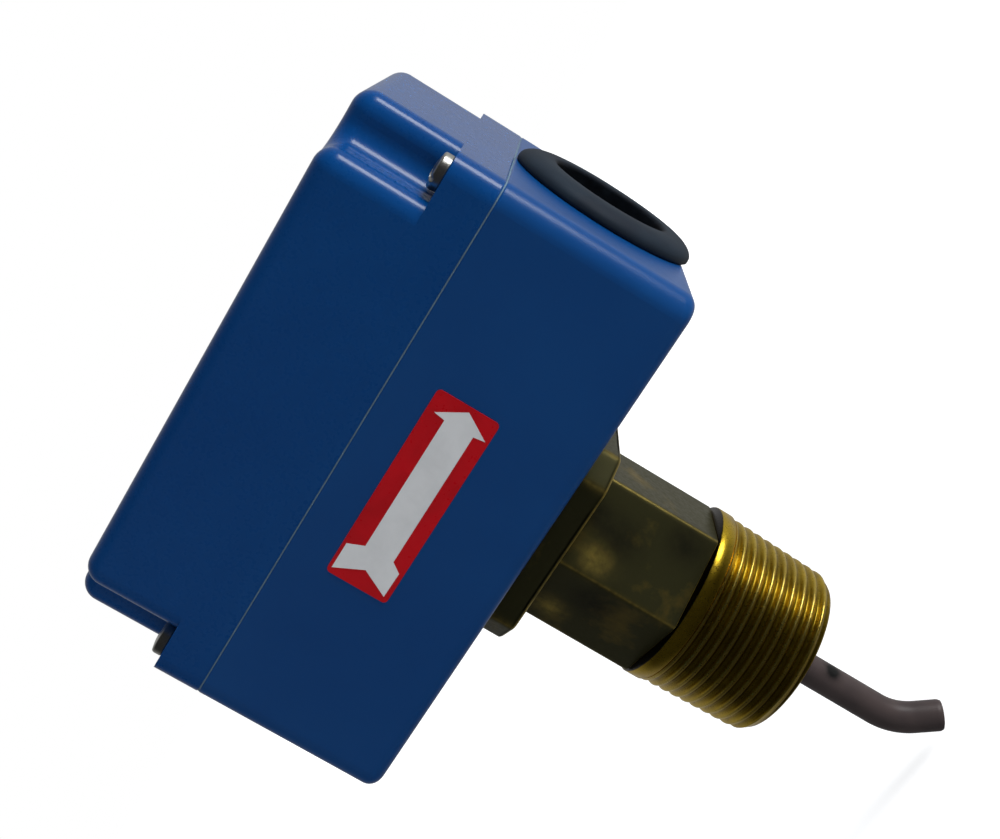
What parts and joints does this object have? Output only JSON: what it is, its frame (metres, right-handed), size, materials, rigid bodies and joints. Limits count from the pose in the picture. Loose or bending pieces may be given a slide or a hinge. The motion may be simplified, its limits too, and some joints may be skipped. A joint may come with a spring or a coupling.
{
  "type": "paddle flow switch",
  "caption": "Pipe-mounted flow switch: a rectangular metal case with a lift-off cover on a hexagonal brass body with a pipe thread, and a bent lever that trips a snap-action switch.",
  "frame": {"origin": "on the pipe thread's axis at its hand-tight plane, 10 mm from the nipple's free end", "axes": "+Z along the thread axis from the pipe to the cover, +X along the flow arrow and out through the conduit grommet, -Y out of the side with the flow label"},
  "size_m": [0.1036, 0.0662, 0.1512],
  "materials": {
    "blue_paint": "smooth gloss enamel",
    "black_rubber": "matt moulded rubber",
    "gasket_rubber": "matt sheet rubber",
    "label_red": "printed film",
    "forged_brass": "forged, browned, machined bright on the thread",
    "zinc_steel": "zinc plated",
    "stainless": "drawn",
    "terminal_brass": "stamped",
    "phenolic": "moulded phenolic",
    "plunger_red": "moulded",
    "fish_paper": "pressed insulating sheet",
    "brown_sleeve": "dull extruded sleeve",
    "earth_green": "dyed plating"
  },
  "bodies": {
    "case": {"base_housing": "blue_paint", "cover_gasket": "gasket_rubber", "conduit_grommet": "black_rubber", "flow_label": "label_red", "brass_body": "forged_brass", "flange_gasket": "gasket_rubber", "flange_screws": "zinc_steel", "lever_seal": "black_rubber", "switch_bracket": "zinc_steel", "pivot_pin": "stainless", "pin_clips": "stainless", "microswitch_case": "phenolic", "insulating_sheet": "fish_paper", "switch_screws": "zinc_steel", "switch_nuts": "zinc_steel", "terminal_common": "terminal_brass", "terminal_closed": "terminal_brass", "terminal_open": "terminal_brass", "terminal_screws": "zinc_steel", "range_spring": "stainless", "earth_screw": "earth_green"},
    "cover_assembly": {"cover": "blue_paint", "cover_screws": "zinc_steel"},
    "lever_assembly": {"lever_rod": "stainless", "lever_sleeve": "brown_sleeve", "lever_hub": "zinc_steel", "switch_arm": "zinc_steel", "trip_screw": "zinc_steel", "trip_nut": "zinc_steel"},
    "plunger": {"switch_plunger": "plunger_red"},
    "adjuster": {"range_screw": "zinc_steel"},
    "adjuster_nut": {"range_nut": "terminal_brass"}
  },
  "joints": [
    {"name": "flow_lever_pivot", "type": "hinge", "parent": "case", "child": "lever_assembly", "pos_m": [0, 0, 0.057], "axis": [0, -1, 0], "range_deg": [0, 6], "stiffness_Nm_per_rad": 0.4, "springref_deg": -5.73, "deforming": ["range_spring"]},
    {"name": "plunger_press", "type": "slide", "parent": "case", "child": "plunger", "axis": [0, 0, 1], "range_m": [0, 0.0017]},
    {"name": "range_screw_turn", "type": "hinge", "parent": "case", "child": "adjuster", "pos_m": [-0.03, 0, 0.09], "axis": [0, 0, -1], "range_deg": [-1500, 1500]},
    {"name": "range_nut_slide", "type": "slide", "parent": "case", "child": "adjuster_nut", "axis": [0, 0, 1], "range_m": [-0.003, 0.003], "deforming": ["range_spring"]},
    {"name": "cover_lift", "type": "slide", "parent": "case", "child": "cover_assembly", "axis": [0, 0, 1], "range_m": [0, 0.06]}
  ],
  "couplings": [
    {"joint": "plunger_press", "follows": "flow_lever_pivot", "m_per_rad": 0.015},
    {"joint": "range_nut_slide", "follows": "range_screw_turn", "m_per_rad": 0.00011141}
  ]
}
